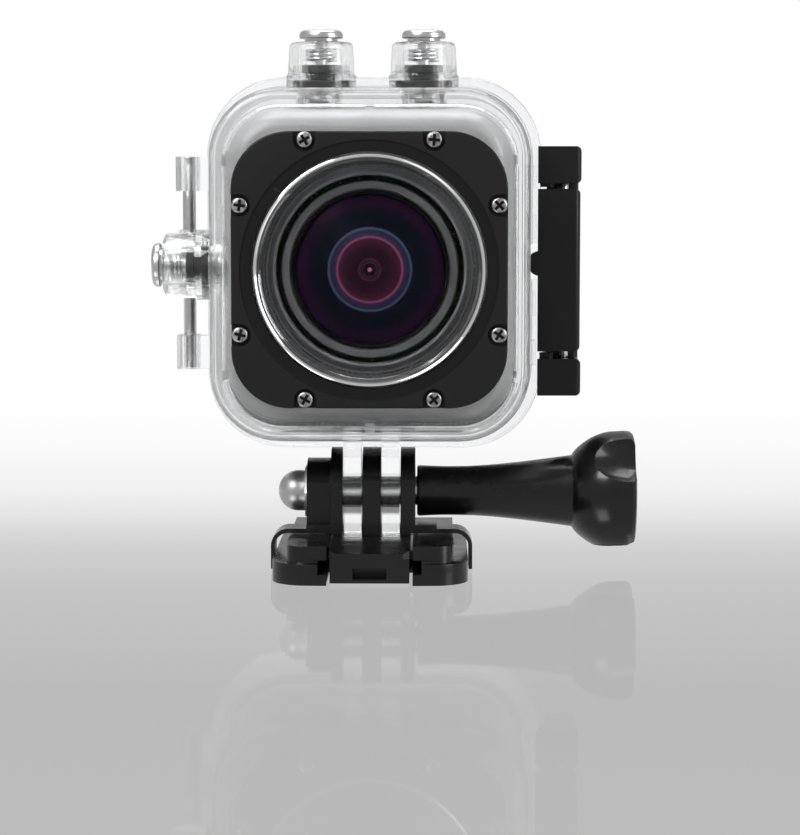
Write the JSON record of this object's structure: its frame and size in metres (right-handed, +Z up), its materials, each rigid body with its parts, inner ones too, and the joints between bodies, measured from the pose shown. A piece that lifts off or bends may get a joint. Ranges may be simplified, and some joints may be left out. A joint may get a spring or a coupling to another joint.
{
  "type": "action camera",
  "caption": "Cube action camera in a clear waterproof housing with a square lens port, spring plungers, latched rear door and a tilting quick-release mount.",
  "frame": {"origin": "centre of the adhesive base's underside", "axes": "+X towards the thumbscrew's head, +Y towards the camera's back, +Z up; the lens looks along -Y"},
  "size_m": [0.0782, 0.0432, 0.0869],
  "materials": {
    "gloss_black": "semi-gloss moulded black plastic",
    "satin_black": "satin black",
    "foam_tape": "red release liner over foam tape",
    "bright_chrome": "polished",
    "steel": "bright steel",
    "clear_plastic": "clear polycarbonate",
    "port_glass": "coated flat glass",
    "black_rubber": "matte silicone rubber",
    "silver_shell": "satin silver paint",
    "gloss_dark": "gloss black",
    "lens_glass": "coated lens glass",
    "circuit_board": "solder mask",
    "internal_black": "satin",
    "clear_silicone": "translucent silicone",
    "textured_grey": "finely textured dark grey"
  },
  "bodies": {
    "base": {"adhesive_base": "gloss_black", "adhesive_pad": "foam_tape"},
    "buckle": {"quick_release_buckle": "gloss_black", "dome_nut": "bright_chrome"},
    "thumbscrew": {"thumbscrew_knob": "gloss_black", "thumbscrew_bolt": "steel"},
    "housing": {"front_shell": "clear_plastic", "port_plate": "satin_black", "port_glass": "port_glass", "port_gasket": "black_rubber", "port_trim_ring": "bright_chrome", "port_screw_1": "steel", "port_screw_2": "steel", "port_screw_3": "steel", "port_screw_4": "steel", "port_screw_5": "steel", "port_screw_6": "steel", "port_screw_7": "steel", "port_screw_8": "steel", "hinge_pin": "steel", "plunger_seal_top_left": "black_rubber", "gland_ring_top_left": "black_rubber", "return_spring_top_left": "steel", "plunger_seal_top_right": "black_rubber", "gland_ring_top_right": "black_rubber", "return_spring_top_right": "steel", "plunger_seal_side": "black_rubber", "gland_ring_side": "black_rubber", "return_spring_side": "steel", "camera_front_cover": "silver_shell", "camera_rear_cover": "textured_grey", "display_panel": "gloss_dark", "lens_bezel": "satin_black", "lens_barrel": "satin_black", "lens_retaining_ring": "gloss_dark", "front_lens": "lens_glass", "inner_lens": "lens_glass", "sensor_board": "circuit_board", "main_board": "circuit_board", "battery": "internal_black", "memory_card": "internal_black", "speaker": "internal_black"},
    "rear_door": {"rear_door": "clear_plastic", "door_gasket": "clear_silicone", "latch_hinge_pin": "steel"},
    "latch_bracket": {"latch_bracket": "satin_black", "lever_pin": "steel"},
    "latch_lever": {"latch_lever": "satin_black"},
    "plunger_top_left": {"plunger_top_left": "bright_chrome"},
    "button_top_left": {"camera_button_top_left": "steel"},
    "plunger_top_right": {"plunger_top_right": "bright_chrome"},
    "button_top_right": {"camera_button_top_right": "steel"},
    "plunger_side": {"plunger_side": "bright_chrome"},
    "button_side": {"camera_button_side": "steel"}
  },
  "joints": [
    {"name": "buckle_slide", "type": "slide", "parent": "base", "child": "buckle", "axis": [0, -1, 0], "range_m": [0, 0.045]},
    {"name": "thumbscrew_turn", "type": "hinge", "parent": "buckle", "child": "thumbscrew", "pos_m": [0.02, 0, 0.0123], "axis": [1, 0, 0], "continuous": true},
    {"name": "housing_tilt", "type": "hinge", "parent": "buckle", "child": "housing", "pos_m": [0, 0, 0.0123], "axis": [1, 0, 0], "range_deg": [-28, 40]},
    {"name": "door_swing", "type": "hinge", "parent": "housing", "child": "rear_door", "pos_m": [-0.0313, 0.0185, 0.049], "axis": [0, 0, 1], "range_deg": [0, 110]},
    {"name": "latch_swing", "type": "hinge", "parent": "rear_door", "child": "latch_bracket", "pos_m": [0.0315, 0.0188, 0.0483], "axis": [0, 0, 1], "range_deg": [0, 90]},
    {"name": "lever_swing", "type": "hinge", "parent": "latch_bracket", "child": "latch_lever", "pos_m": [0.0312, 0.006, 0.048], "axis": [0, 0, 1], "range_deg": [0, 95]},
    {"name": "plunger_top_left_press", "type": "slide", "parent": "housing", "child": "plunger_top_left", "axis": [0, 0, -1], "range_m": [0, 0.0008], "stiffness_N_per_m": 600, "springref_m": -0.0008},
    {"name": "plunger_top_right_press", "type": "slide", "parent": "housing", "child": "plunger_top_right", "axis": [0, 0, -1], "range_m": [0, 0.0008], "stiffness_N_per_m": 600, "springref_m": -0.0008},
    {"name": "plunger_side_press", "type": "slide", "parent": "housing", "child": "plunger_side", "axis": [1, 0, 0], "range_m": [0, 0.0008], "stiffness_N_per_m": 600, "springref_m": -0.0008},
    {"name": "button_top_left_press", "type": "slide", "parent": "housing", "child": "button_top_left", "axis": [0, 0, -1], "range_m": [0, 0.0005], "stiffness_N_per_m": 400, "springref_m": -0.0005},
    {"name": "button_top_right_press", "type": "slide", "parent": "housing", "child": "button_top_right", "axis": [0, 0, -1], "range_m": [0, 0.0005], "stiffness_N_per_m": 400, "springref_m": -0.0005},
    {"name": "button_side_press", "type": "slide", "parent": "housing", "child": "button_side", "axis": [1, 0, 0], "range_m": [0, 0.0005], "stiffness_N_per_m": 400, "springref_m": -0.0005}
  ],
  "couplings": [
    {"joint": "button_top_left_press", "follows": "plunger_top_left_press", "ratio": 0.625},
    {"joint": "button_top_right_press", "follows": "plunger_top_right_press", "ratio": 0.625},
    {"joint": "button_side_press", "follows": "plunger_side_press", "ratio": 0.625}
  ]
}
